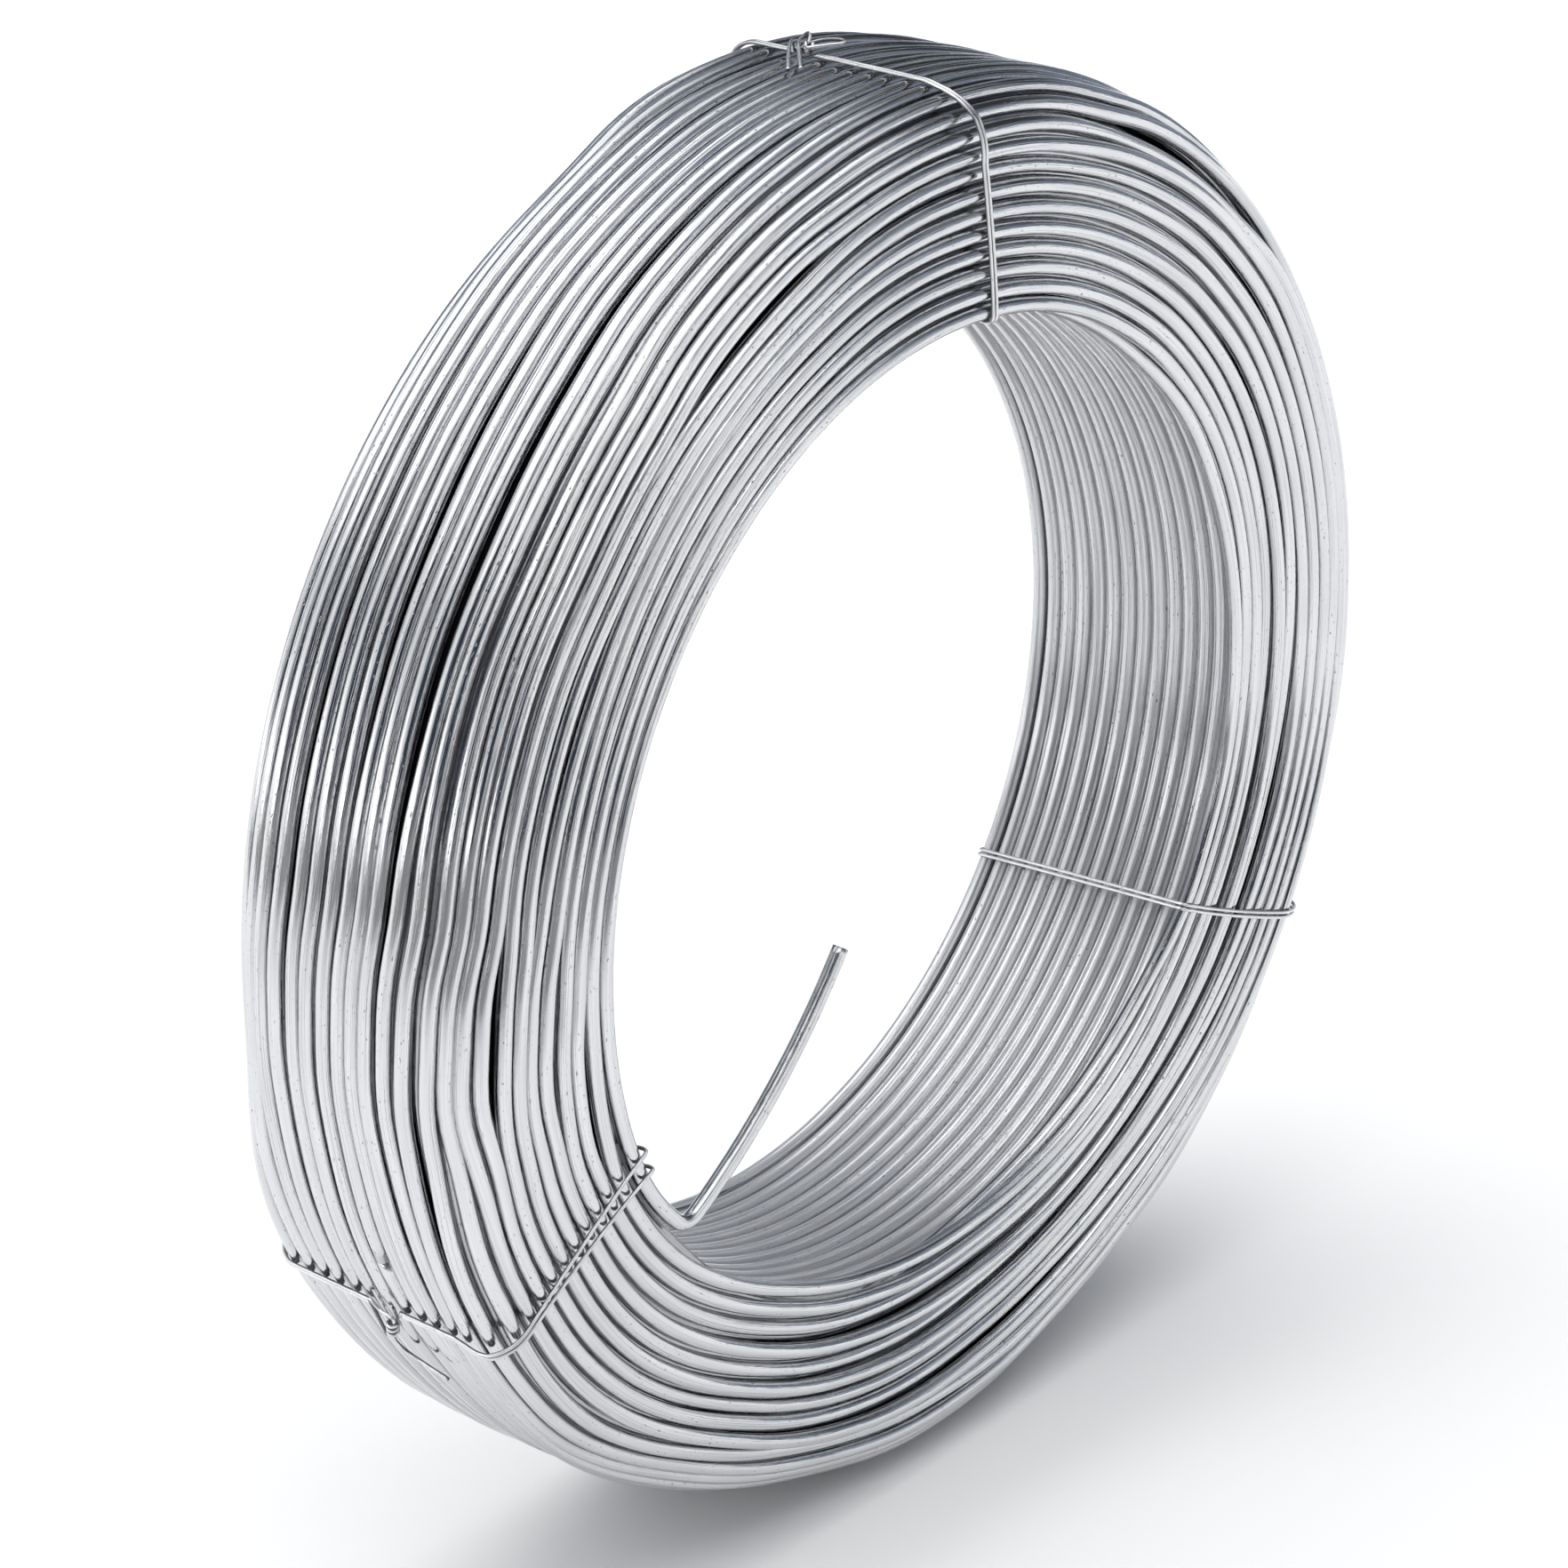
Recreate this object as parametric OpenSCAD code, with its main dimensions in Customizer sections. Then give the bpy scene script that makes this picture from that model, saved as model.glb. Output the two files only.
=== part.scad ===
// Coil of galvanised steel wire, standing on its rim and bound by three thin ties.
// The coil's axis runs along Y, its front face looks along -Y and its centre is the origin.

/* [Wire] */
// Thickness of the coiled wire
wire_d = 2.4; // [2:0.1:3.2]
// Usual gap between two neighbouring turns
turn_gap = 0.6; // [0.2:0.1:0.9]

/* [Coil] */
// Diameter of the open bore, between the innermost turns
bore_d = 148; // [120:1:180]
// Depth of the winding, from the bore to the tread
winding_depth = 33; // [26:1:40]
// Width from the front turns to the back turns
coil_width = 44; // [36:1:60]
// Radius of the rounded shoulder between a face and the tread
shoulder_radius = 11.5; // [6:0.5:14]

/* [Loose end] */
// Angle round the coil where the loose end leaves the innermost front turn
tail_angle = 212; // [208:1:230]
// Radius of its sharp bend, along the middle of the wire
tail_bend_radius = 4; // [3:0.5:8]
// How far forward of its turn it springs
tail_spring = 0.2; // [0.1:0.05:0.5]
// Radius of its long gentle curve
tail_curve_radius = 106; // [80:1:200]
// Length of the gentle curve, up to the cut
tail_length = 45; // [20:1:55]

/* [Ties] */
// Thickness of the tie wire
tie_d = 0.65; // [0.5:0.05:1]
// Room between a tie and the turns under it
tie_gap = 0.25; // [0.2:0.05:0.5]
// Angle round the coil of the tie at the top
top_tie_angle = 88; // [80:1:100]
// Angle round the coil of the tie at the lower left
left_tie_angle = 205; // [190:1:206]
// Angle round the coil of the tie at the lower right
right_tie_angle = 329; // [310:1:340]
// Angle that a tight tie's two strands open from the knot to the bore
tight_spread = 0.5; // [0:0.1:2]
// Angle that a loose tie's two strands open from the knot to the bore
loose_spread = 3.5; // [2:0.1:4]
// Place of the top knot across the tread, forward of the middle
top_knot_forward = -7; // [-10:0.5:4]
// Place of the lower left knot across the tread, forward of the middle
left_knot_forward = -1; // [-8:0.5:4]
// Place of the lower right knot across the tread, forward of the middle
right_knot_forward = -4; // [-8:0.5:4]
// Radius of the eye at a knot, along the middle of the tie wire
eye_radius = 1.8; // [1.2:0.1:2.5]
// Turns of tie wire wrapped round a knot
knot_wraps = 3; // [2:1:5]
// Length of a knot's cut ends
knot_end_length = 8; // [4:0.5:12]

/* [Hidden] */
$fn = 96;

wire_colour = "#c4c7cb";
tie_colour = "#9b9ea3";

outer_r = bore_d / 2 + winding_depth;
wire_r = wire_d / 2;
turn_pitch = wire_d + turn_gap;

// Middles of the turns at the edges of the coil's section, as radius and place along the axis
bore_turn_r = bore_d / 2 + wire_r;
face_turn_z = coil_width / 2 - wire_r;
shoulder_r = outer_r - shoulder_radius;
shoulder_z = coil_width / 2 - shoulder_radius;
shoulder_turn_bend = shoulder_radius - wire_r;
tread_turn_r = shoulder_r + shoulder_turn_bend;

// Number of turn pitches along each stretch of the section's edge
bore_steps = steps(2 * face_turn_z);
face_steps = steps(shoulder_r - bore_turn_r);
shoulder_steps = steps(shoulder_turn_bend * PI / 2);
tread_steps = steps(2 * shoulder_z);

// Middles of all the outer turns, once round the section
section_turns = concat(
    [for (i = [0:bore_steps - 1]) [bore_turn_r, face_turn_z * (1 - 2 * i / bore_steps)]],
    [for (i = [0:face_steps - 1]) [bore_turn_r + (shoulder_r - bore_turn_r) * i / face_steps, -face_turn_z]],
    [for (i = [0:shoulder_steps - 1]) shoulder_turn(i / shoulder_steps, -1)],
    [for (i = [0:tread_steps - 1]) [tread_turn_r, shoulder_z * (2 * i / tread_steps - 1)]],
    [for (i = [0:shoulder_steps - 1]) shoulder_turn(1 - i / shoulder_steps, 1)],
    [for (i = [0:face_steps - 1]) [shoulder_r - (shoulder_r - bore_turn_r) * i / face_steps, face_turn_z]]
);

// Middle line of a tie strand, which follows the section's edge at one distance
tie_offset = tie_gap + tie_d / 2;
tie_bore_r = bore_d / 2 - tie_offset;
tie_tread_r = outer_r + tie_offset;
tie_face_z = coil_width / 2 + tie_offset;
tie_inner_bend = wire_r + tie_offset;
tie_outer_bend = shoulder_radius + tie_offset;
strand_half_gap = 0.6 * tie_d;

// Knot
wrap_radius = 1.5 * tie_d;
wrap_pitch = 0.9 * tie_d;
wrap_r = outer_r + tie_gap + wrap_radius + tie_d / 2;
eye_lift = 0.25 * tie_d;
end_lean = 35;
end_fan = 14;

function steps(length) = max(1, round(length / turn_pitch));

// Middle of a turn on the shoulder, a share of the way from the face to the tread
function shoulder_turn(share, side) = [
    shoulder_r + shoulder_turn_bend * sin(90 * share),
    side * (shoulder_z + shoulder_turn_bend * cos(90 * share))
];

// Places a shape that is drawn with the coil's axis along Z and its front face up
module stand() {
    rotate([90, 0, 0]) children();
}

// An arc of round wire in the XY plane, from the X axis towards Y
module bent_wire(radius, turn, thickness) {
    rotate_extrude(angle = turn) translate([radius, 0]) circle(d = thickness);
}

// The same arc in the XZ plane, from a start angle
module upright_bend(radius, start, thickness) {
    rotate([90, 0, 0]) rotate([0, 0, start]) bent_wire(radius, 90, thickness);
}

// The coil's section: every outer turn is round, and the turns inside are one solid core
module section() {
    polygon(section_turns);
    for (turn = section_turns) translate(turn) circle(d = wire_d);
}

// The innermost front turn bends square into the bore, and ends in a plain cut
module loose_end() {
    curve_turn = tail_length / tail_curve_radius * 180 / PI;
    rotate([0, 0, tail_angle])
        translate([bore_turn_r - tail_bend_radius, 0, face_turn_z + tail_spring]) {
            bent_wire(tail_bend_radius, 90, wire_d);
            rotate([0, 0, 90]) translate([tail_bend_radius - tail_curve_radius, 0, 0])
                bent_wire(tail_curve_radius, curve_turn, wire_d);
        }
}

module wire_coil() {
    color(wire_colour) stand() {
        rotate_extrude() section();
        loose_end();
    }
}

// One strand of tie wire, closed round the section in the XZ plane
module strand() {
    for (side = [-1, 1]) {
        translate([bore_turn_r, 0, side * tie_face_z]) rotate([0, 90, 0])
            cylinder(h = shoulder_r - bore_turn_r, d = tie_d);
        translate([bore_turn_r, 0, side * face_turn_z])
            upright_bend(tie_inner_bend, side > 0 ? 90 : 180, tie_d);
        translate([shoulder_r, 0, side * shoulder_z])
            upright_bend(tie_outer_bend, side > 0 ? 0 : 270, tie_d);
    }
    translate([tie_bore_r, 0, -face_turn_z]) cylinder(h = 2 * face_turn_z, d = tie_d);
    translate([tie_tread_r, 0, -shoulder_z]) cylinder(h = 2 * shoulder_z, d = tie_d);
}

// The knot: an eye, a few wraps round both strands, and two cut ends that lie on the tread
module knot() {
    for (i = [0:knot_wraps - 1]) translate([wrap_r, 0, i * wrap_pitch]) bent_wire(wrap_radius, 360, tie_d);
    translate([tie_tread_r + eye_lift, 0, knot_wraps * wrap_pitch + eye_radius - tie_d])
        rotate([0, 90, 0]) bent_wire(eye_radius, 360, tie_d);
    for (side = [-1, 1]) translate([tie_tread_r + eye_lift, 0, 0])
        rotate([end_lean + side * end_fan - 90, 0, 0]) cylinder(h = knot_end_length, d = tie_d);
}

// A tie of two strands that part from the knot towards the bore
module tie(angle, spread, knot_forward) {
    color(tie_colour) stand() rotate([0, 0, angle]) {
        for (side = [-1, 1]) translate([tie_tread_r, side * strand_half_gap, 0])
            rotate([0, 0, -side * spread]) translate([-tie_tread_r, 0, 0]) strand();
        translate([0, 0, knot_forward]) knot();
    }
}

module top_tie() {
    tie(top_tie_angle, tight_spread, top_knot_forward);
}

module left_tie() {
    tie(left_tie_angle, loose_spread, left_knot_forward);
}

module right_tie() {
    tie(right_tie_angle, tight_spread, right_knot_forward);
}

wire_coil();
top_tie();
left_tie();
right_tie();
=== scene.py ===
import math
import bpy
import numpy as np
from mathutils import Matrix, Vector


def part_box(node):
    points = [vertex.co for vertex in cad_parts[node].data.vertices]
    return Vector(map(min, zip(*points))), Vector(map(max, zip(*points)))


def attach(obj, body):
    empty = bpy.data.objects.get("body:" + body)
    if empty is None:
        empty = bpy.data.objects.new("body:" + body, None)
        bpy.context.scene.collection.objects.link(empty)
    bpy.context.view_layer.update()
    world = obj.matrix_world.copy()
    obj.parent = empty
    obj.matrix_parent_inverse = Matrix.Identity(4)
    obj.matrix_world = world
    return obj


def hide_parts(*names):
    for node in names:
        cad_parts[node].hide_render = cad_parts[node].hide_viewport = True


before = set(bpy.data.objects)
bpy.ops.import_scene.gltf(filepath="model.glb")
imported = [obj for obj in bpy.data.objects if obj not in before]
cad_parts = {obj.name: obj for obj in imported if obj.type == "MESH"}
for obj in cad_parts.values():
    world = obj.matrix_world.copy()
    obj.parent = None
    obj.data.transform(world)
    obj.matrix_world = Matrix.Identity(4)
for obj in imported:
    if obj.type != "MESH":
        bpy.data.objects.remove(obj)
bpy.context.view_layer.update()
coilLow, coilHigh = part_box("wire_coil")
print("frame loaded")

# lengths are in metres; angles run round the coil in degrees: 0 points right and 90 up, seen from the front
coil = dict(
    wire=0.0024,  # thickness of the wire
    bore=0.0738,  # radius between the innermost turns
    width=0.044,  # from the front turns to the back turns
    outer=(coilHigh.x - coilLow.x) / 2 - 0.00005,  # a hair inside the solid's tread
    frontShoulder=0.0115,  # rounding between the front face and the tread
    backShoulder=0.0118,  # rounding between the tread and the back face
    outerTurns=35,  # from the front edge of the bore over face, tread and back
    boreTurns=13,  # between the two edges of the bore
    unevenGaps=0.5,  # how much the gaps of the outer turns differ
    evenGaps=0.12,  # the same for the turns of the bore
    deepest=0.0008,  # how far a turn may sink between its neighbours
    sinkFrom=0.7,  # a turn sinks where its wander passes this
    sinkOver=1.8,  # and lies deepest where it is this much more
    backSink=0.5,  # share of the sinking that is left at the back
    boreSink=0.2,  # share of the sinking that is left in the bore
    steepest=0.0021,  # two neighbours count as no further apart in depth
    wave=0.00010,  # slow rise and fall of every turn
    gapWeight=0.50,  # share of the free length for a gap
    treadWeight=0.10,  # so much more for a gap on the tread
    treadHalf=0.2,  # half of the tread, as a share of the outer turns
    closing=455,  # from this angle a turn moves to where the next one inward starts
    sag=(0.0014, 0.0003),  # how far the loose turns sag into the bore, first and last
    sagTurns=6,
    sagAt=(256, 34),  # middle angle and half length
    edgeFrom=420,  # from this angle the last turn moves onto the bore's edge
    edgeOver=30,  # and lies on it so much later
    rising=90,  # angle over which the wire comes up from inside
    stations=220,  # steps round one turn
    sides=16,  # sides of the wire
    innerSides=8,  # sides of the wire in the layer beneath
    seed=5,
)

# where the shoulders are squarer or rounder: middle angle, half length, change of radius
frontChanges = [(206, 16, -0.0060), (246, 16, 0.004), (292, 10, 0.0015), (88, 13, -0.0022), (58, 16, 0.002)]
backChanges = [(92, 16, -0.006), (210, 20, -0.0078)]

# along the wire the turns of the face wander towards the bore at the bottom and back: angle, sideways shift
drift = [
    (200, 0), (222, -0.0023), (240, -0.0048), (256, -0.0062), (275, -0.0071), (300, -0.0074),
    (335, -0.0068), (360, -0.0058), (390, -0.0046), (412, -0.0036), (432, -0.0029), (455, -0.0026),
    (560, -0.0026),
]
firstAngle, lastAngle = drift[0][0], drift[-1][0]  # one round of the wire

# gaps that open between two turns:
# place along the section from the bore's front edge, middle angle, half length, width
wideGaps = [
    (0.0380, 130, 36, 0.0010),
    (0.0358, 184, 22, 0.0012),
    (0.0066, 190, 9, 0.0010),
    (0.0118, 182, 9, 0.0011),
    (0.0149, 158, 13, 0.0011),
    (0.0214, 179, 8, 0.0014),
    (0.0226, 117, 10, 0.0011),
    (0.0268, 199, 10, 0.0006),
    (0.0297, 197, 11, 0.0006),
    (0.0018, 318, 72, 0.0006),
    (0.0074, 330, 80, 0.0007),
    (0.0133, 266, 26, 0.0005),
    (0.0178, 264, 22, 0.0004),
    (0.0266, 250, 15, 0.0003),
    (0.0194, 50, 18, 0.0006),
    (0.0270, 54, 13, 0.0016),
]

# turns that ride up on their neighbours, or sink: place, middle angle, half length, rise
risingTurns = [
    (0.0290, 60, 18, 0.0010),
    (0.0315, 62, 17, 0.0009),
    (0.0255, 58, 15, -0.0010),
    (0.0030, 300, 60, -0.0012),
    (0.0087, 300, 66, -0.0012),
    (0.0140, 278, 48, -0.0012),
    (0.0186, 268, 34, -0.0012),
    (0.0245, 258, 16, -0.0009),
]


def bell(theta, middle, half):  # 1 near the middle angle, falling to 0 past the half length
    away = (theta - middle + 180) % 360 - 180
    return np.exp(-((away / half) ** 4))


def softStep(share):  # goes smoothly from 0 to 1
    share = np.clip(share, 0, 1)
    return share * share * (3 - 2 * share)


def wander(rng, count, theta, waves=5, fall=0.6):  # slow sine waves, a row for each turn, about 1 in size
    order = np.arange(1, waves + 1)
    size = rng.normal(size=(count, waves)) / order ** fall
    phase = rng.uniform(0, 2 * math.pi, (count, waves))
    turn = np.radians(theta) * order[None, :, None]
    rows = (size[:, :, None] * np.cos(turn + phase[:, :, None])).sum(1)
    return rows / rows.std()


def changed(base, changes, theta):
    return base + sum(change * bell(theta, middle, half) for middle, half, change in changes)


def spans(theta, inset):
    # lengths of the section's outline: face, shoulder, tread, shoulder, back, corner, bore, corner
    bends = [
        changed(coil["frontShoulder"], frontChanges, theta),
        changed(coil["backShoulder"], backChanges, theta),
        coil["wire"] / 2 + 0 * theta,
        coil["wire"] / 2 + 0 * theta,
    ]
    front, back, cornerB, cornerF = [np.maximum(b - inset, 1e-9) for b in bends]  # lengths are divided by these
    depth = coil["outer"] - coil["bore"] - 2 * inset
    width = coil["width"] - 2 * inset
    quarter = math.pi / 2
    runs = [
        depth - front - cornerF,
        front * quarter,
        width - front - back,
        back * quarter,
        depth - back - cornerB,
        cornerB * quarter,
        width - cornerB - cornerF,
        cornerF * quarter,
    ]
    return runs, (front, back, cornerB, cornerF)


def outline(place, theta, inset):
    # a point of the outline by its length: straight runs add up, each rounding adds a sine and a cosine part
    runs, (front, back, cornerB, cornerF) = spans(theta, inset)
    starts = np.cumsum([0 * runs[0]] + runs[:-1], 0)
    up, a, over, b, down, c, home, d = [np.clip(place - s, 0, r) for s, r in zip(starts, runs)]
    a, b, c, d = a / front, b / back, c / cornerB, d / cornerF
    radius = coil["bore"] + inset + cornerF + up + front * np.sin(a) - back * (1 - np.cos(b)) - down
    radius += -cornerB * np.sin(c) + cornerF * (1 - np.cos(d))
    along = inset - coil["width"] / 2 + front * (1 - np.cos(a)) + over + back * np.sin(b)
    along += -cornerB * (1 - np.cos(c)) - home - cornerF * np.sin(d)
    return radius, along, a + b + c + d


def ring(theta, radius, along):  # points from an angle, a radius and a place along the axis
    turn = np.radians(theta)
    return np.stack([radius * np.cos(turn), along + 0 * turn, radius * np.sin(turn)], -1)


def facing(theta, tilt):  # the outline's outward direction: tilt 0 looks forward, a quarter turn looks outward
    return ring(theta, np.sin(tilt), -np.cos(tilt))


def unit(vectors):
    return vectors / np.linalg.norm(vectors, axis=-1, keepdims=True)


def drifted(places, theta, length):
    # the face follows the drift, the far side moves evenly by one turn on each round
    angles, shifts = np.array(drift).T
    roundShare = (theta - firstAngle) / 360
    face = np.interp(theta, angles, shifts)
    share = np.clip(places / length, 0, 1)
    return places + (1 - share) * face + share * roundShare * drift[-1][1]


def turnAt(places, place, angle, length):  # the turn that passes nearest to a place of the section at an angle
    seen = drifted(places, angle if angle >= firstAngle else angle + 360, length) + coil["wire"] / 2
    return np.argmin(np.abs(seen - place))


def packed(rng, length, depth, weight, theta, uneven, gaps):
    # turns side by side: a sunk turn lets its neighbours come closer, and the gaps share what length is left
    apart = np.clip(np.diff(depth, axis=0), -coil["steepest"], coil["steepest"])
    closest = np.sqrt(coil["wire"] ** 2 - apart ** 2)
    plain = weight[:, None] * np.exp(uneven * wander(rng, len(weight), theta))
    extra = np.zeros_like(plain)
    share = plain.mean(1) / plain.mean(1).sum()
    step = closest.mean(1) + share * (length.mean() - closest.mean(1).sum())
    middles = np.cumsum(step) - step / 2
    for place, middle, half, wide in gaps:
        extra[turnAt(middles, place, middle, length.mean())] += wide * bell(theta, middle, half)
    room = length - closest.sum(0) - extra.sum(0)
    step = closest + extra + plain * room / plain.sum(0)
    least, mean = room.min() * 1000, room.mean() / len(weight) * 1000
    print("smallest room for gaps: %.2f mm, mean gap %.2f mm" % (least, mean))
    return np.vstack([0 * theta, np.cumsum(step, 0)])


def sinking(rng, count, theta):  # most turns lie at the surface, some dip for part of their way
    dip = softStep((wander(rng, count, theta) - coil["sinkFrom"]) / coil["sinkOver"])
    return coil["deepest"] * dip + coil["wave"] * (1 + wander(rng, count, theta))


def tubes(paths, outward, thickness, sides, closed):
    # a circle carried along each path: middle + radius * (cos v * outward + sin v * sideways)
    ahead = np.roll(paths, -1, 1) - np.roll(paths, 1, 1) if closed else np.gradient(paths, axis=1)
    ahead = unit(ahead)
    out = unit(outward - (outward * ahead).sum(-1, keepdims=True) * ahead)
    aside = np.cross(ahead, out)
    v = math.pi + 2 * math.pi * np.arange(sides) / sides  # the seam lies underneath
    circle = np.cos(v)[:, None] * out[:, :, None] + np.sin(v)[:, None] * aside[:, :, None]
    points = paths[:, :, None] + thickness / 2 * circle
    count, stations = paths.shape[:2]
    n = np.arange(stations if closed else stations - 1)
    t, n, k = np.meshgrid(np.arange(count), n, np.arange(sides), indexing="ij")

    def index(n, k):
        return (t * stations + n % stations) * sides + k % sides

    quads = np.stack([index(n, k), index(n, k + 1), index(n + 1, k + 1), index(n + 1, k)], -1).reshape(-1, 4)
    steps = np.linalg.norm(np.diff(paths, axis=1, append=paths[:, :1]), axis=-1)
    length = np.pad(np.cumsum(steps, 1), ((0, 0), (1, 0)))
    length += 0.73 * np.arange(count)[:, None]  # every tube shows another stretch of the pattern
    u = np.stack([length[t, n], length[t, n], length[t, n + 1], length[t, n + 1]], -1)
    w = np.stack([k, k + 1, k + 1, k], -1) / sides
    first = np.arange(count)[:, None] * stations * sides + np.arange(sides)
    ends = np.concatenate([first[:, ::-1], first + (stations - 1) * sides])
    caps = np.empty((0, sides), int) if closed else ends
    return points.reshape(-1, 3), quads, caps, np.stack([u, w], -1).reshape(-1, 2)


def joined(parts):  # several sets of tubes as one
    points, quads, caps, uv = [], [], [], []
    base = 0
    for p, q, c, w in parts:
        points.append(p), quads.append(q + base), caps.append(c + base), uv.append(w)
        base += len(p)
    return np.concatenate(points), np.concatenate(quads), np.concatenate(caps), np.concatenate(uv)


def makePiece(name, parts, material, node):
    points, quads, caps, uv = parts
    mesh = bpy.data.meshes.new(name)
    corners = np.concatenate([quads.ravel(), caps.ravel()])
    sizes = np.repeat([4, caps.shape[1]], [len(quads), len(caps)])
    mesh.vertices.add(len(points))
    mesh.vertices.foreach_set("co", points.astype(np.float32).ravel())
    mesh.loops.add(len(corners))
    mesh.loops.foreach_set("vertex_index", corners.astype(np.int32))
    mesh.polygons.add(len(sizes))
    mesh.polygons.foreach_set("loop_start", (np.cumsum(sizes) - sizes).astype(np.int32))
    mesh.polygons.foreach_set("loop_total", sizes.astype(np.int32))
    mesh.polygons.foreach_set("use_smooth", np.arange(len(sizes)) < len(quads))
    layer = mesh.uv_layers.new(name="wireUv")
    layer.data.foreach_set("uv", np.pad(uv, ((0, caps.size), (0, 0))).astype(np.float32).ravel())
    mesh.update()
    mesh.validate()
    mesh.materials.append(material)
    piece = bpy.data.objects.new(name, mesh)
    bpy.context.scene.collection.objects.link(piece)
    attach(piece, "root")
    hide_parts(node)


def makeLayer(name, parts, material):  # one layer of the coil
    makePiece(name, parts, material, "wire_coil")


class Value:  # a socket that takes part in sums
    def __init__(self, board, socket):
        self.board, self.socket = board, socket

    def sum(self, kind, a, b):
        return self.board.add("ShaderNodeMath", dict(operation=kind), {0: a, 1: b})

    def __add__(self, other):
        return self.sum("ADD", self, other)

    def __sub__(self, other):
        return self.sum("SUBTRACT", self, other)

    def __rsub__(self, other):
        return self.sum("SUBTRACT", other, self)

    def __mul__(self, other):
        return self.sum("MULTIPLY", self, other)

    def __truediv__(self, other):
        return self.sum("DIVIDE", self, other)

    __radd__, __rmul__ = __add__, __mul__


class Board:  # one node tree
    def __init__(self, owner):
        owner.use_nodes = True
        self.tree = owner.node_tree
        self.tree.nodes.clear()

    def add(self, kind, settings=None, sockets=None, out=0):
        node = self.tree.nodes.new(kind)
        for key, value in (settings or {}).items():
            setattr(node, key, value)
        for key, value in (sockets or {}).items():
            if isinstance(value, Value):
                self.tree.links.new(value.socket, node.inputs[key])
            else:
                node.inputs[key].default_value = value
        return Value(self, node.outputs[out]) if node.outputs else None

    def split(self, vector):
        return [self.add("ShaderNodeSeparateXYZ", None, {0: vector}, axis) for axis in "XYZ"]

    def noise(self, place, detail):
        return self.add("ShaderNodeTexNoise", None, {"Vector": place, "Scale": 1.0, "Detail": detail}, "Fac")

    def ease(self, value, low, high, start=0.0, end=1.0):  # smoothly from start to end, between low and high
        return self.add(
            "ShaderNodeMapRange",
            dict(interpolation_type="SMOOTHSTEP"),
            {"Value": value, 1: low, 2: high, 3: start, 4: end},
        )

    def blend(self, share, a, b):
        return self.add("ShaderNodeMix", dict(data_type="RGBA"), {0: share, 6: a, 7: b}, 2)


zinc = dict(
    pale=(0.73, 0.73, 0.74, 1),
    dull=(0.64, 0.645, 0.66, 1),
    # dark colour of scratches and pits, and of the painted shade beside the neighbours
    dirtAndShade=(0.040, 0.048, 0.062, 1),
    metal=1.0,
    roughness=0.075,
    shade=0.42,  # how far painted shade darkens the wire beside its neighbours
)
boreZinc = dict(zinc, metal=0.68, roughness=0.2, shade=0.05)
# the edge turn: the same zinc with stronger painted shade, for the shadow along its inner side
shadedEdgeZinc = dict(zinc, shade=0.8)
# the layer beneath: the same zinc painted darker, as painted shade in the gaps between the outer turns
deepShadedZinc = dict(
    pale=(0.50, 0.505, 0.52, 1),
    dull=(0.36, 0.365, 0.38, 1),
    dirtAndShade=(0.05, 0.05, 0.06, 1),
    metal=1.0,
    roughness=0.12,
    shade=0.7,
)

# patterns of the zinc: waves along a metre of wire, waves round it, detail
patterns = dict(
    streak=(28, 11, 4),
    fine=(170, 46, 3),
    cloud=(60, 2.5, 2),
    scratch=(16, 70, 2),
    pits=(1100, 20, 2),
)

# where a pattern begins and where it is full, and how strong it is
marks = dict(
    tone=(0.36, 0.62),  # from dull to pale
    scratch=(0.60, 0.70),
    pits=(0.63, 0.73),
    pitted=(0.40, 0.60),  # clouds that have pits
    flank=(0.165, 0.236),  # where the painted shade fades, from the wire's hidden side to its open side
    scratchDark=0.35,
    pitsDark=0.7,
    uneven=0.10,  # change of roughness
    bump=0.00006,  # height of the grain
)


def zincWire(name, look):
    material = bpy.data.materials.new(name)
    board = Board(material)
    run, turn, _ = board.split(board.add("ShaderNodeUVMap", dict(uv_map="wireUv")))

    def pattern(kind):
        runScale, turnScale, detail = patterns[kind]
        place = board.add("ShaderNodeCombineXYZ", None, {0: run * runScale, 1: turn * turnScale})
        return board.noise(place, detail)

    streak, fine, cloud = pattern("streak"), pattern("fine"), pattern("cloud")
    scratch = board.ease(pattern("scratch"), *marks["scratch"])
    pits = board.ease(pattern("pits"), *marks["pits"]) * board.ease(cloud, *marks["pitted"])
    tone = board.ease(streak * 0.6 + cloud * 0.4, *marks["tone"])
    colour = board.blend(tone, look["dull"], look["pale"])
    colour = board.blend(scratch * marks["scratchDark"] + pits * marks["pitsDark"], colour, look["dirtAndShade"])
    # painted shade: the colour darkens towards the wire's hidden side, where its neighbours would shade it
    paintedShade = board.ease(turn * (1 - turn), *marks["flank"], look["shade"], 0.0)
    colour = board.blend(paintedShade, colour, look["dirtAndShade"])
    rough = look["roughness"] + marks["uneven"] * (streak - 0.5) + marks["uneven"] * (fine - 0.5)
    height = streak + 0.5 * fine - 0.35 * scratch - 0.5 * pits
    bump = board.add("ShaderNodeBump", None, {"Strength": 1.0, "Distance": marks["bump"], "Height": height})
    shader = board.add(
        "ShaderNodeBsdfPrincipled",
        None,
        {"Base Color": colour, "Metallic": look["metal"], "Roughness": rough, "Normal": bump},
    )
    board.add("ShaderNodeOutputMaterial", None, {"Surface": shader})
    return material


wireZinc = zincWire("wireZinc", zinc)
innerShadedZinc = zincWire("innerShadedZinc", deepShadedZinc)
evenZinc = zincWire("evenZinc", boreZinc)
paintedShadeEdgeZinc = zincWire("paintedShadeEdgeZinc", shadedEdgeZinc)

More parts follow.
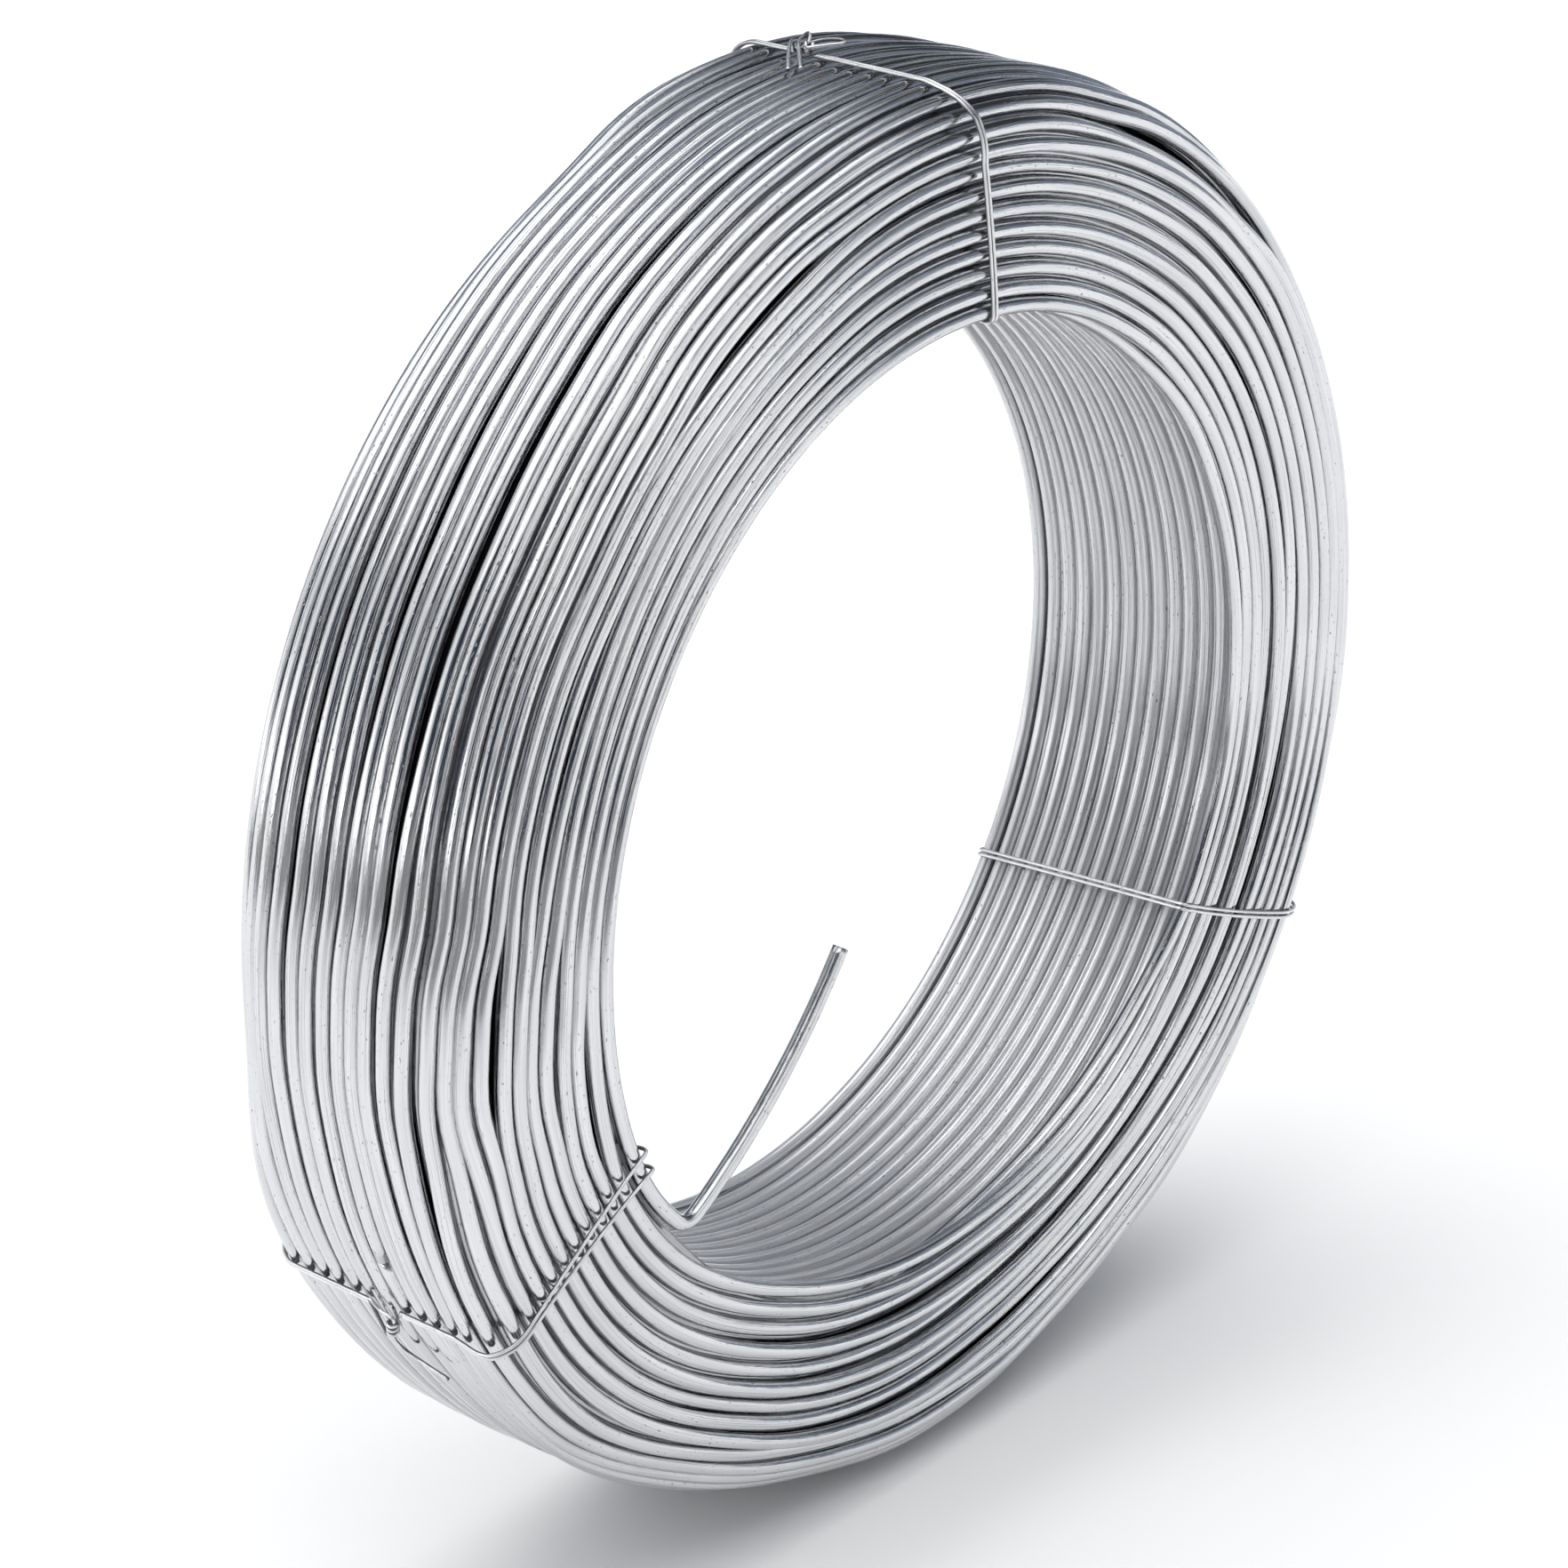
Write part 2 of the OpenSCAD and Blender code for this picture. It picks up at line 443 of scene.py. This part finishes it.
# the outer turns: one wire, wound from the back's bore edge over back, tread and face to the loose end
rng = np.random.default_rng(coil["seed"])
wire, half = coil["wire"], coil["wire"] / 2
theta = firstAngle + np.arange(coil["stations"]) * 360 / coil["stations"]
runs, _ = spans(theta, half)
outerLength, boreLength = sum(runs[:5]), runs[6]
outerTurns, boreTurns = coil["outerTurns"], coil["boreTurns"]


def hung(places):  # beyond the bore's front edge the turns of the face hang on into the bore
    radius, along, tilt = outline(np.maximum(places, 0), theta, half)
    return radius + np.minimum(places, 0), along, tilt


def laid(places, depth):  # paths of turns so deep under the outline, and their outward directions
    radius, along, tilt = hung(places)
    return ring(theta, radius - depth * np.sin(tilt), along + depth * np.cos(tilt)), facing(theta, tilt)


depth = sinking(rng, outerTurns, theta) * np.linspace(1, coil["backSink"], outerTurns)[:, None]
depth[0] = depth[-1] = 0
middles = np.arange(outerTurns) / (outerTurns - 1) * outerLength.mean()
for place, middle, reach, rise in risingTurns:
    depth[turnAt(middles, place, middle, outerLength.mean())] -= rise * bell(theta, middle, reach)
order = np.arange(outerTurns - 1) / (outerTurns - 2)
onTread = np.exp(-(((order - 0.5) / coil["treadHalf"]) ** 4))  # turns lie wider apart there
weight = coil["gapWeight"] + coil["treadWeight"] * onTread
places = packed(rng, outerLength, depth, weight, theta, coil["unevenGaps"], wideGaps)
start = places[:, 0]
places = drifted(places, theta, outerLength)
# every turn ends where the next one inward starts
last = softStep((theta - coil["closing"]) / (lastAngle - coil["closing"]))
ends = drifted(start, np.array(float(lastAngle)), outerLength[0])
places[1:] += last * (start[:-1] - ends[1:])[:, None]
depth[1:] += last * (depth[:-1, :1] - depth[1:, :1])
# loose turns sag into the bore, the last turn lies on its edge, and the first one comes up from inside
sag = np.linspace(*coil["sag"], coil["sagTurns"])[:, None]
places[1:1 + coil["sagTurns"]] -= sag * bell(theta, *coil["sagAt"])
onEdge = softStep((theta - coil["edgeFrom"]) / coil["edgeOver"])
places[1] *= 1 - onEdge
depth[1] *= 1 - onEdge
depth[-1] += wire * np.clip((firstAngle + coil["rising"] - theta) / coil["rising"], 0, 1)
outerPaths, outerOut = laid(places, depth)

# the turns of the bore lie evenly
boreDepth = coil["boreSink"] * sinking(rng, boreTurns + 2, theta)
boreDepth[0] = boreDepth[-1] = 0
borePlaces = packed(rng, boreLength, boreDepth, np.ones(boreTurns + 1), theta, coil["evenGaps"], [])


def lined(places, depth):  # paths of turns so deep behind the bore, and their outward directions
    paths = ring(theta, coil["bore"] + half + depth, places - boreLength / 2)
    return paths, facing(theta, np.full_like(places, -math.pi / 2))


borePaths, boreOut = lined(borePlaces, boreDepth)

# the layer beneath: lengths are in thicknesses of the wire
below = dict(
    reach=0.7,  # farthest sideways that a turn can touch its two neighbours
    wide=1.3,  # a wider step lets it sink deeper
    deeper=1.5,  # and by so much of what is wider
    outerShare=0.85,  # share of the touching depth under the outer turns
    boreShare=0.5,  # and under the turns of the bore
)


def beneath(places, depth, share):
    # each turn lies between two outer ones, as deep as touching both puts it, deeper under wide gaps
    step = np.hypot(np.diff(places, axis=0), np.diff(depth, axis=0))
    reach = np.minimum(step / 2, below["reach"] * wire)
    lower = share * np.sqrt(wire ** 2 - reach ** 2)
    lower += np.maximum(step - below["wide"] * wire, 0) * below["deeper"]
    return (places[:-1] + places[1:]) / 2, (depth[:-1] + depth[1:]) / 2 + lower


midPlaces, midDepth = beneath(places, depth, below["outerShare"])
midPaths, midOut = laid(np.maximum(midPlaces, 0), midDepth)
midBorePaths, midBoreOut = lined(*beneath(borePlaces, boreDepth, below["boreShare"]))


def wound(turns, rest=None):  # the turns in one line, the outermost first
    line = turns[::-1].reshape(1, -1, 3)
    return line if rest is None else np.concatenate([line, rest[None]], 1)


boreParts = tubes(borePaths[1:], boreOut[1:], wire, coil["sides"], True)
innerParts = joined([
    tubes(wound(midPaths), wound(midOut), wire, coil["innerSides"], False),
    tubes(midBorePaths[1:-1], midBoreOut[1:-1], wire, coil["innerSides"], True),
])
makeLayer("boreTurns", boreParts, evenZinc)
makeLayer("innerTurns", innerParts, innerShadedZinc)
print("layers laid")

# the innermost turn ends in the bore: it bends off its circle and curves up to its cut end
tail = dict(
    angle=213.1,  # where it bends off
    drawnIn=0.0017,  # how far it has left its circle there
    bend=88.25,
    bendRadius=0.0035,
    curveRadius=0.1058,
    length=0.0431,  # of the curve
    forward=0.0001,  # in front of its turn
    arcSteps=9,
    bendSteps=16,
    curveSteps=40,
)


def tailPath():
    angle = np.linspace(theta[0], tail["angle"], tail["arcSteps"])
    start = math.radians(tail["angle"])
    curve = np.linspace(0, tail["length"] / tail["curveRadius"], tail["curveSteps"])[1:]
    share = (angle - angle[0]) / (angle[-1] - angle[0])
    arc = ring(angle, coil["bore"] + half - tail["drawnIn"] * share ** 2, 0)
    lean = 2 * tail["drawnIn"] / (coil["bore"] * math.radians(angle[-1] - angle[0]))
    heading = start + math.pi / 2 + math.atan(lean)  # direction of travel where the bend starts
    bend = math.radians(tail["bend"]) - math.atan(lean)
    turnedBy = np.linspace(0, bend, tail["bendSteps"])[1:]
    x0, _, z0 = arc[-1]
    # along an arc the place changes by radius * (sine of the new heading - sine of the old), and so for cosine
    bendX = x0 + tail["bendRadius"] * (np.sin(heading + turnedBy) - math.sin(heading))
    bendZ = z0 - tail["bendRadius"] * (np.cos(heading + turnedBy) - math.cos(heading))
    heading += bend
    curveX = bendX[-1] + tail["curveRadius"] * (np.sin(heading + curve) - math.sin(heading))
    curveZ = bendZ[-1] - tail["curveRadius"] * (np.cos(heading + curve) - math.cos(heading))
    x, z = np.concatenate([arc[:, 0], bendX, curveX]), np.concatenate([arc[:, 2], bendZ, curveZ])
    return np.stack([x, half - coil["width"] / 2 - tail["forward"] + 0 * x, z], -1)


# one turn of the bore slips out at the front and hangs over its edge: angles, and how far outward it lies
slipped = [
    (250, 0.0024), (265, -0.0030), (278, -0.0054), (300, -0.0060), (328, -0.0066), (350, -0.0058),
    (370, -0.0055), (388, -0.0050), (400, -0.0040), (412, -0.0029), (424, -0.0016), (436, -0.0004),
    (446, 0.0008), (456, 0.0026),
]
slip = dict(steps=150, window=15)  # points along it, and points that its smoothing spans


def slippedTurn():
    # it lies beside the last turn of the face or, where both need the same room, touching it from behind
    angle = np.linspace(slipped[0][0], slipped[-1][0], slip["steps"])
    window = np.hanning(slip["window"]) / np.hanning(slip["window"]).sum()

    def eased(values):
        return np.convolve(np.pad(values, slip["window"] // 2, "edge"), window, "valid")

    hang = eased(np.interp(angle, *np.array(slipped).T))
    room = np.interp(angle, theta, places[1]) - hang
    behind = eased(np.where(room > 0, np.sqrt(np.maximum(wire ** 2 - room ** 2, 0)), wire))
    behind += 2 * np.maximum(hang, 0)  # both ends stay inside the coil
    radius, along, _ = outline(0 * angle, angle, half)
    path = ring(angle, radius + hang, along + behind)
    # it faces forward, so that its painted shade darkens its inner side towards the bore
    return tubes(path[None], facing(angle, 0 * angle)[None], wire, coil["sides"], False)


split = outerTurns // 2
loose = tailPath()
forward = np.broadcast_to([0.0, -1.0, 0.0], loose.shape)
frontLine, frontOut = wound(outerPaths[1:split], loose), wound(outerOut[1:split], forward)
backLine = wound(outerPaths[split:], outerPaths[split - 1, :1])
backOut = wound(outerOut[split:], outerOut[split - 1, :1])
makeLayer("edgeTurn", slippedTurn(), paintedShadeEdgeZinc)
makeLayer("frontTurns", tubes(frontLine, frontOut, wire, coil["sides"], False), wireZinc)
makeLayer("backTurns", tubes(backLine, backOut, wire, coil["sides"], False), wireZinc)
print("wire wound")

# a dark core closes what the turns leave open: painted shade, near black where the inside of the coil lies in
# shadow
core = dict(
    inset=0.0044,
    steps=72,  # round its section
    every=2,  # it takes every second station of the turns
    roughness=0.7,
    colour=(0.03, 0.032, 0.036, 1),
)


def makeCore():
    angle = theta[::core["every"]]
    runs, _ = spans(angle, core["inset"])
    place = np.linspace(0, 1, core["steps"], endpoint=False)[:, None] * sum(runs)
    radius, along, _ = outline(place, angle, core["inset"])
    points = ring(angle, radius, along)
    a, b = np.meshgrid(np.arange(core["steps"]), np.arange(len(angle)), indexing="ij")

    def index(a, b):
        return a % core["steps"] * len(angle) + b % len(angle)

    quads = np.stack([index(a, b), index(a, b + 1), index(a + 1, b + 1), index(a + 1, b)], -1).reshape(-1, 4)
    material = bpy.data.materials.new("corePaintedShade")
    board = Board(material)
    look = {"Base Color": core["colour"], "Roughness": core["roughness"]}
    shader = board.add("ShaderNodeBsdfPrincipled", None, look)
    board.add("ShaderNodeOutputMaterial", None, {"Surface": shader})
    parts = points.reshape(-1, 3), quads, np.empty((0, 4), int), np.zeros((quads.size, 2))
    makeLayer("coreTurns", parts, material)


makeCore()

# ties: thin wire laid double round the section; a knot on the tread holds its ends
tieWire = dict(
    thickness=0.00057,
    clear=0.00005,  # between a strand and the turns
    steps=320,
    sides=8,
    hookReach=0.0016,  # length of the hook at the bore's edge
    tentReach=0.0065,  # length of the way up to the peak
    parting=1.6,  # how late the strands part towards the bore
)

# tread, bore: angles there; skew: how far a tie turns on along the bore; apart, boreApart: between its strands
# hook: over the bore's front edge; drawn: inward at that edge, with the slipped turn
# peak, lift: place and height of its way over a turn that stands out; knot: from back to front
ties = [
    dict(
        node="top_tie", tread=89.8, bore=85.8, skew=0.0, apart=0.0007, boreApart=0.0008,
        hook=0.0003, drawn=0.0, peak=0.0282, lift=0.0010, knot=(-0.0100, -0.0058),
    ),
    dict(
        node="left_tie", tread=205.4, bore=201.8, skew=0.0, apart=0.0007, boreApart=0.0037,
        hook=0.0012, drawn=0.0, peak=0.0332, lift=0.0009, knot=(-0.0031, 0.0024),
    ),
    dict(
        node="right_tie", tread=332.5, bore=328.3, skew=1.6, apart=0.0008, boreApart=0.0008,
        hook=0.0003, drawn=0.0068, peak=0.0300, lift=0.0, knot=(-0.0045, 0.0010),
    ),
]

# knots in millimetres over the tread: forward, round the coil, outward; a wrap runs from one place to another
knots = dict(
    top_tie=dict(
        loops=[
            [(-9.8, -0.8, 1.2), (-9.7, -2.0, 2.0), (-9.3, -2.4, 2.4), (-8.6, -2.0, 2.2), (-8.2, -0.8, 1.3),
             (-8.9, 0.2, 0.9)],
            [(-7.4, -0.2, 1.6), (-5.9, -1.2, 2.2), (-4.3, -2.3, 2.4), (-3.2, -2.8, 2.3), (-3.1, -2.1, 2.1),
             (-4.3, -1.2, 1.9), (-5.8, 0.0, 1.6), (-7.2, 0.6, 1.3)],
        ],
        ends=[
            [(-9.0, 0.4, 1.9), (-8.5, 2.2, 2.2), (-6.9, 4.6, 1.6), (-4.2, 7.9, 0.5)],
            [(-7.9, 0.2, 1.9), (-7.4, 1.8, 2.2), (-5.6, 3.9, 1.5), (-3.0, 6.6, 0.5)],
        ],
        wrap=((-9.9, 0.7, 1.1), (-6.4, -0.5, 1.1), 3.5, 0.75),
    ),
    left_tie=dict(
        loops=[
            [(-3.1, -0.75, 0.5), (-1.2, 0.4, 0.9), (0.9, 0.9, 1.0), (0.6, 2.4, 1.2), (-1.2, 5.0, 1.2),
             (-2.9, 7.0, 0.9), (-3.4, 6.2, 0.7), (-3.2, 3.0, 0.6)],
        ],
        ends=[[(-1.0, 5.0, 1.1), (-1.4, 7.2, 1.2), (-0.4, 8.9, 1.2), (2.4, 10.3, 1.3), (6.9, 11.2, 1.6)]],
        wrap=((0.6, 1.8, 1.0), (-1.0, 5.2, 1.0), 2.5, 0.7),
    ),
    right_tie=dict(
        loops=[
            [(-4.6, -0.6, 0.5), (-2.8, -0.9, 0.9), (-0.8, -0.6, 1.0), (-0.6, 0.6, 1.0), (-2.6, 1.0, 0.9),
             (-4.4, 0.6, 0.6)],
        ],
        ends=[[(-1.6, 0.4, 1.0), (-1.4, 2.4, 1.2), (-0.2, 4.6, 1.2), (2.2, 7.2, 1.0)]],
        wrap=((-2.4, 0.0, 0.9), (-0.4, 0.4, 0.9), 2.5, 0.7),
    ),
)
tieLook = dict(
    pale=(0.86, 0.86, 0.87, 1),
    dull=(0.68, 0.685, 0.70, 1),
    dirtAndShade=(0.12, 0.12, 0.13, 1),
    metal=1.0,
    roughness=0.16,
    # strong painted shade darkens both flanks of the tie wire
    shade=0.9,
)
tieZinc = zincWire("tieZinc", tieLook)


def strands(tie):
    # two paths round the section, from the back of the knot over back, bore and face to its front
    inset = -tieWire["thickness"] / 2 - tieWire["clear"]
    angle = np.array([float(tie["tread"])])
    runs, bends = spans(angle, inset)
    lengths = [float(run[0]) for run in runs]
    total = sum(lengths)
    tread = lengths[0] + lengths[1] + coil["width"] / 2 - inset - float(bends[0][0])
    knotBack, knotFront = tie["knot"]
    place = np.linspace(tread - knotBack, total + tread - knotFront, tieWire["steps"]) % total
    radius, along, tilt = [values[:, 0] for values in outline(place[:, None], angle, inset)]
    height = np.clip((radius - coil["bore"]) / (coil["outer"] - coil["bore"]), 0, 1)
    fromEdge = (place + total / 2) % total - total / 2
    edge = np.exp(-(fromEdge / tieWire["hookReach"]) ** 2)
    middle = tie["bore"] + (tie["tread"] - tie["bore"]) * height
    middle = middle - tie["skew"] * (along / coil["width"] + 0.5) * (1 - height)
    apart = tie["apart"] + (tie["boreApart"] - tie["apart"]) * (1 - height) ** tieWire["parting"]
    aside = np.array([-0.5, 0.5])[:, None] * apart
    # drawn over a turn that stands out, it rises and falls evenly like a tent
    tent = tie["lift"] * np.maximum(1 - np.abs(place - tie["peak"]) / tieWire["tentReach"], 0)
    # the slipped turn draws a tie inward at the bore's front edge, and less and less away from there
    slack = np.interp(place, [0, lengths[0], sum(lengths[:6]), total], [1, 0, 0, 1])
    inward = radius - tie["hook"] * edge - tie["drawn"] * slack + tent * np.sin(tilt)
    along = along - tent * np.cos(tilt)
    turned = middle + np.degrees(aside / radius)
    paths, out = ring(turned, inward, along), facing(turned, np.broadcast_to(tilt, turned.shape))
    return tubes(paths, out, tieWire["thickness"], tieWire["sides"], False)


def smoothed(points, closed, steps=10):
    # a cubic from each point to the next, whose slopes follow the points before and after
    points = np.array(points, float)
    if closed:
        before, after = points[-1:], points[:2]
    else:
        before, after = 2 * points[:1] - points[1:2], 2 * points[-1:] - points[-2:-1]
    line = np.concatenate([before, points, after])
    a, b, c, d = line[:-3, None], line[1:-2, None], line[2:-1, None], line[3:, None]
    t = (np.arange(steps) / steps)[:, None]
    curve = (2 * b + (c - a) * t + (2 * a - 5 * b + 4 * c - d) * t ** 2 + (3 * b - a - 3 * c + d) * t ** 3) / 2
    curve = curve.reshape(-1, 3)
    return curve if closed else np.concatenate([curve, points[-1:]])


def helix(start, end, turns, size, steps=14):
    # a circle of the given size round the line from start to end, carried along it
    start, end = np.array(start), np.array(end)
    share = np.linspace(0, 1, int(turns * steps))[:, None]
    side = unit(np.cross(end - start, (0, 0, 1)))
    rise = unit(np.cross(side, end - start))
    spin = 2 * math.pi * turns * share
    away = size * (np.cos(spin) * side + np.sin(spin) * rise)
    return start + (end - start) * share + away, away


def knotParts(tie):
    def placed(local):  # from millimetres over the tread to the frame
        forward, around, height = np.moveaxis(local, -1, 0) / 1000
        radius = coil["outer"] + height
        return ring(tie["tread"] + np.degrees(around / radius), radius, -forward)

    def thread(path, outward, closed=False):
        out = placed(path + outward) - placed(path)
        return tubes(placed(path)[None], out[None], tieWire["thickness"], tieWire["sides"], closed)

    knot = knots[tie["node"]]
    short = 0.5  # a step outward that shows the direction
    loops = [smoothed(points, True) for points in knot["loops"]]
    ends = [smoothed(points, False) for points in knot["ends"]]
    parts = [thread(path, short * unit(path - path.mean(0)), True) for path in loops]
    parts += [thread(path, (0, 0, short)) for path in ends]
    return parts + [thread(*helix(*knot["wrap"]))]


for tie in ties:
    parts = joined([strands(tie)] + knotParts(tie))
    makePiece(tie["node"] + "_wire", parts, tieZinc, tie["node"])
print("ties tied")

# the studio: a pale floor, panels of light in a dim room and an even light from above
studio = dict(
    floorSize=12.0,
    floorGrey=0.93,
    nearGrey=0.25,
    near=(0.25, 0.55),  # distances towards the camera between which the floor changes its grey
    nearWay=(-0.773, -0.634),  # the way towards the camera along the floor
    floorRoughness=0.9,
    room=(0.215, 0.25, 0.31, 1),
    dark=(0.042, 0.05, 0.068, 1),  # behind the camera
    darkWay=(-0.706, -0.579, 0.408),  # the way to the middle of the dark
    darkEdge=(0.70, 0.97),
    panelEdge=(0.02, 0.1),  # a panel shows only ahead of its plane
    fillPower=0.85,
    fillAngle=70,
)


def makeFloor():
    side, low = studio["floorSize"] / 2, coilLow.z
    corners = [(-side, -side, low), (side, -side, low), (side, side, low), (-side, side, low)]
    mesh = bpy.data.meshes.new("floor")
    mesh.from_pydata(corners, [], [(0, 1, 2, 3)])
    floor = bpy.data.objects.new("floor", mesh)
    bpy.context.scene.collection.objects.link(floor)
    material = bpy.data.materials.new("floorPaper")
    board = Board(material)
    x, y, _ = board.split(board.add("ShaderNodeTexCoord", None, None, "Object"))
    wayX, wayY = studio["nearWay"]
    level = board.ease(wayX * x + wayY * y, *studio["near"], studio["floorGrey"], studio["nearGrey"])
    look = {"Base Color": level, "Roughness": studio["floorRoughness"]}
    shader = board.add("ShaderNodeBsdfPrincipled", None, look)
    board.add("ShaderNodeOutputMaterial", None, {"Surface": shader})
    mesh.materials.append(material)


# panels: the plane they lie in at distance 1, a direction along it, middle, half sizes, soft edges, level
panels = [
    dict(  # bright, at the left behind the coil
        plane=(-0.72, 0.66, 0.25), right=(0.66, 0.72, 0), middle=(0, 0), half=(0.6, 0.45),
        soft=(0.4, 0.35), level=1.0,
    ),
    dict(  # dark, at the upper right
        plane=(0.8, 0, 0.6), right=(0, 1, 0), middle=(0, 0), half=(0.48, 0.36),
        soft=(0.22, 0.22), level=0.045,
    ),
    dict(  # soft box overhead
        plane=(0, 0, 1), right=(-0.84, 0.545, 0), middle=(0.42, 0.02), half=(0.90, 0.78),
        soft=(0.36, 0.36), level=1.9,
    ),
    dict(  # reflector in front
        plane=(0, -1, 0), right=(1, 0, 0), middle=(0.20, 0.10), half=(0.65, 0.80),
        soft=(0.30, 0.20), level=1.05,
    ),
    dict(  # bright sweep, low at the left
        plane=(-0.88, 0.47, 0), right=(0.47, 0.88, 0), middle=(0, 0.0), half=(0.85, 0.20),
        soft=(0.25, 0.09), level=1.9,
    ),
]


def makeWorld():
    world = bpy.data.worlds.new("studio")
    bpy.context.scene.world = world
    board = Board(world)
    look = board.add("ShaderNodeTexCoord", None, None, "Generated")

    def towards(axis):
        return board.add("ShaderNodeVectorMath", dict(operation="DOT_PRODUCT"), {0: look, 1: axis}, "Value")

    behind = board.ease(towards(studio["darkWay"]), *studio["darkEdge"])
    colour = board.blend(behind, studio["room"], studio["dark"])
    for panel in panels:
        right = unit(np.array(panel["right"], float))
        ahead = unit(np.array(panel["plane"], float))
        axes = right, np.cross(right, ahead)
        depth = towards(ahead)
        inside = board.ease(depth, *studio["panelEdge"])
        for axis, middle, size, soft in zip(axes, panel["middle"], panel["half"], panel["soft"]):
            offset = towards(axis) / depth - middle
            offset = board.add("ShaderNodeMath", dict(operation="ABSOLUTE"), {0: offset})
            inside = inside * board.ease(offset, size - soft, size + soft, 1.0, 0.0)
        colour = board.blend(inside, colour, (panel["level"],) * 3 + (1,))
    light = board.add("ShaderNodeBackground", None, {"Color": colour, "Strength": 1.0})
    board.add("ShaderNodeOutputWorld", None, {"Surface": light})


def makeFill():  # an even light from above for the floor, kept out of reflections
    lamp = bpy.data.lights.new("fill", "SUN")
    lamp.energy, lamp.angle = studio["fillPower"], math.radians(studio["fillAngle"])
    holder = bpy.data.objects.new("fill", lamp)
    holder.visible_glossy = False
    bpy.context.scene.collection.objects.link(holder)


makeFloor()
makeWorld()
makeFill()
print("studio lit")

# the camera stands as in the photograph; its distance is in outer radii of the coil
camera = dict(
    azimuth=-50.65,
    elevation=24.11,
    distance=6.497,
    pan=-0.01239,
    tilt=-0.00143,
    focal=5340.65,  # in pixels of the photograph
    frame=1764,
    sensor=36,
    clip=(0.01, 50),
)


def makeCamera():
    a, e = math.radians(camera["azimuth"]), math.radians(camera["elevation"])
    away = np.array([math.sin(a) * math.cos(e), -math.cos(a) * math.cos(e), math.sin(e)])
    right = unit(np.cross(-away, (0, 0, 1)))
    ahead = unit(camera["pan"] * right + camera["tilt"] * np.cross(right, -away) - away)
    right = unit(np.cross(ahead, (0, 0, 1)))
    lens = bpy.data.cameras.new("camera")
    lens.sensor_width = camera["sensor"]
    lens.lens = camera["sensor"] * camera["focal"] / camera["frame"]
    lens.clip_start, lens.clip_end = camera["clip"]
    holder = bpy.data.objects.new("camera", lens)
    turned = np.eye(4)
    turned[:3] = np.stack([right, np.cross(right, ahead), -ahead, away * camera["distance"] * coil["outer"]], 1)
    holder.matrix_world = Matrix(turned)
    bpy.context.scene.collection.objects.link(holder)
    bpy.context.scene.camera = holder


makeCamera()
bpy.context.scene.view_settings.view_transform = "Standard"
